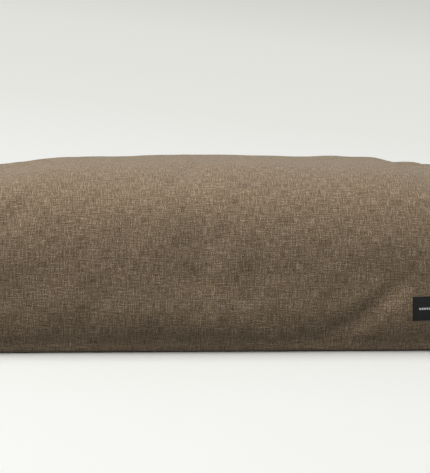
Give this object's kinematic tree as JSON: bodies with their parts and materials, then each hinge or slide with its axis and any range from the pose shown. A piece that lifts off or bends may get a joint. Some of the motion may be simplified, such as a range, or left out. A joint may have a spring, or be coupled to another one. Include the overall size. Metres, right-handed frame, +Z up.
{
  "type": "pet cushion bed",
  "caption": "Soft rectangular pet cushion with a domed top, a zipped fabric cover with a plain woven tag, and a zipped inner bag holding a foam slab and loose flake fill.",
  "frame": {"origin": "centre of the base, on the floor", "axes": "+X to the right seen from the front, along the length; +Y to the back, where the cover's zip is; +Z up"},
  "size_m": [0.76, 0.56, 0.205],
  "materials": {
    "cover_fabric": "linen-look taupe melange upholstery weave",
    "base_fabric": "dark non-slip base cloth",
    "liner_fabric": "undyed plain lining cloth",
    "slab_foam": "open-cell foam, cut slab",
    "flake_foam": "loose foam flakes, as one mass",
    "zip_tape": "woven polyester tape",
    "zip_chain": "nylon coil",
    "zip_metal": "dark lacquered zinc",
    "tag_weave": "black damask-woven tag, plain",
    "care_satin": "white satin ribbon, blank"
  },
  "bodies": {
    "cushion": {"cover_wrap_panel": "cover_fabric", "cover_back_strip": "cover_fabric", "cover_left_end_panel": "cover_fabric", "cover_right_end_panel": "cover_fabric", "cover_base_panel": "base_fabric", "front_tag": "tag_weave", "care_label": "care_satin", "zip_tape_upper": "zip_tape", "zip_tape_lower": "zip_tape", "zip_teeth_upper": "zip_chain", "zip_teeth_lower": "zip_chain", "zip_top_stop_upper": "zip_metal", "zip_top_stop_lower": "zip_metal", "zip_bottom_stop": "zip_metal", "liner_upper": "liner_fabric", "liner_base": "liner_fabric", "liner_zip_tape_upper": "zip_tape", "liner_zip_tape_lower": "zip_tape", "liner_zip_teeth_upper": "zip_chain", "liner_zip_teeth_lower": "zip_chain", "liner_zip_top_stop_upper": "zip_metal", "liner_zip_top_stop_lower": "zip_metal", "liner_zip_bottom_stop": "zip_metal", "foam_base_slab": "slab_foam", "flake_fill": "flake_foam"},
    "zip_slider": {"zip_slider": "zip_metal"},
    "zip_puller": {"zip_puller": "zip_metal"},
    "liner_zip_slider": {"liner_zip_slider": "zip_metal"}
  },
  "joints": [
    {"name": "zip_slide", "type": "slide", "parent": "cushion", "child": "zip_slider", "axis": [1, 0, 0], "range_m": [0, 0.46]},
    {"name": "puller_swing", "type": "hinge", "parent": "zip_slider", "child": "zip_puller", "pos_m": [-0.23146, 0.27651, 0.05252], "axis": [0, 0.158, 0.9874], "range_deg": [0, 180]},
    {"name": "liner_zip_slide", "type": "slide", "parent": "cushion", "child": "liner_zip_slider", "axis": [0, 1, 0], "range_m": [0, 0.26]}
  ]
}
